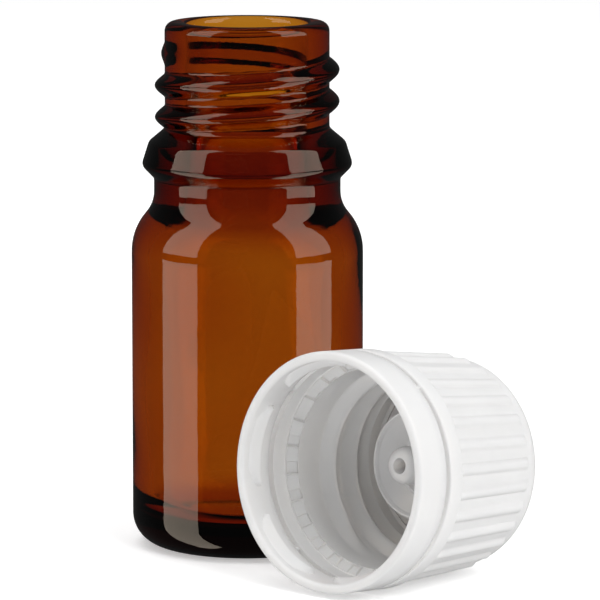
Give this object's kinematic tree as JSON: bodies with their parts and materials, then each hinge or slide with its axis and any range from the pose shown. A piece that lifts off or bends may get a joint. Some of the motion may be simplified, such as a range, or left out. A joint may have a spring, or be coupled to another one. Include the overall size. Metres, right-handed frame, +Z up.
{
  "type": "dropper vial",
  "caption": "Amber glass dropper vial with a threaded neck, and its white ribbed tamper-evident screw cap with dropper insert lying beside it.",
  "frame": {"origin": "On the table at the centre of the standing vial's base, on the vial's axis.", "axes": "+Z up along the vial's axis, out of its mouth. The closure lies in front, towards -Y, with its open end towards -X and -Y."},
  "size_m": [0.0376, 0.0436, 0.05],
  "materials": {
    "amber_glass": "polished amber soda-lime glass",
    "cap_plastic": "white moulded polypropylene, satin",
    "insert_plastic": "natural white moulded polyethylene, slightly waxy"
  },
  "bodies": {
    "glass_vial_body": {"glass_vial": "amber_glass"},
    "band_body": {"tamper_band": "cap_plastic", "break_bridges": "cap_plastic"},
    "insert_body": {"dropper_insert": "insert_plastic"},
    "cap_body": {"screw_cap": "cap_plastic"}
  },
  "joints": [
    {"name": "closure_lift", "type": "slide", "parent": "glass_vial_body", "child": "band_body", "axis": [0, 0, 1], "range_m": [0, 0.06]},
    {"name": "cap_turn", "type": "hinge", "parent": "band_body", "child": "insert_body", "pos_m": [0.01393, -0.01796, 0.01064], "axis": [0.6527, 0.7536, -0.078], "range_deg": [0, 720]},
    {"name": "cap_lift", "type": "slide", "parent": "insert_body", "child": "cap_body", "axis": [0.6527, 0.7536, -0.078], "range_m": [0, 0.00601]}
  ],
  "couplings": [
    {"joint": "cap_lift", "follows": "cap_turn", "m_per_rad": 0.00047746}
  ]
}
